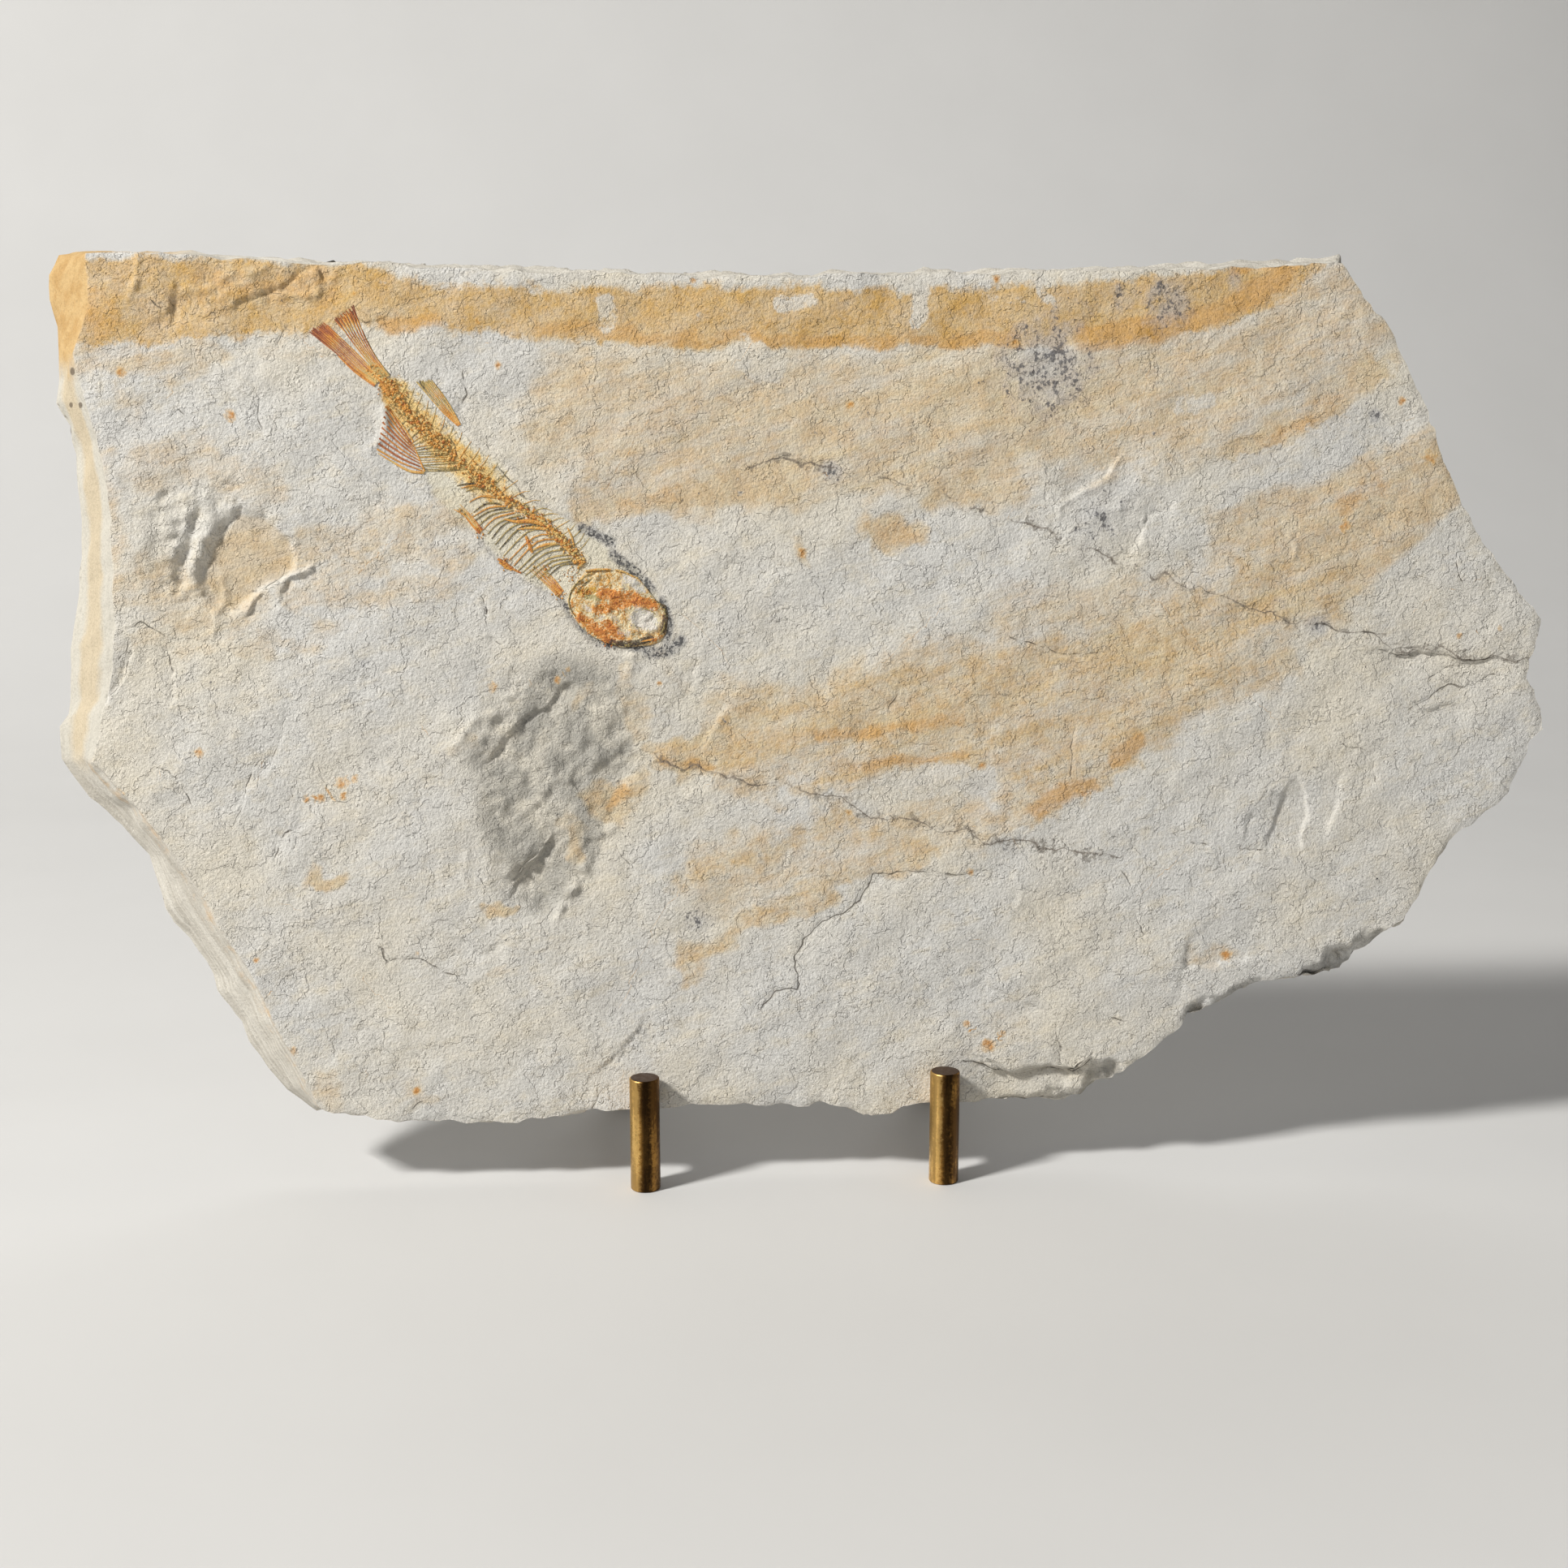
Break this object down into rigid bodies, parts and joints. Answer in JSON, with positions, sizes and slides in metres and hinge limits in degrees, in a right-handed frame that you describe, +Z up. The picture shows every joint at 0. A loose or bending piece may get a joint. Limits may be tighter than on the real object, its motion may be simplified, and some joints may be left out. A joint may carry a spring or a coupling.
{
  "type": "fossil fish slab",
  "caption": "Broken limestone slab with a small fossil fish in its face, leaning back on a stand of round brass rod.",
  "frame": {"origin": "middle of the stand's and slab's outer box, on the surface that the stand rests on", "axes": "+X to the right along the slab, -Y out of the slab's front face, +Z up"},
  "size_m": [0.4018, 0.0808, 0.2477],
  "materials": {
    "stone": "rough, split limestone",
    "bone": "satin fossil bone",
    "fin": "satin fossil bone",
    "brass": "aged, brown patina"
  },
  "bodies": {
    "root": {"slab": "stone", "backbone": "bone", "skull": "bone", "tail_fin": "fin", "dorsal_fin": "fin", "anal_fin": "fin", "pelvic_fin": "fin", "pectoral_fin": "fin", "front_post_left": "brass", "front_post_right": "brass", "rest_pin_left": "brass", "rest_pin_right": "brass", "rear_leg_left": "brass", "rear_leg_right": "brass"}
  },
  "joints": []
}
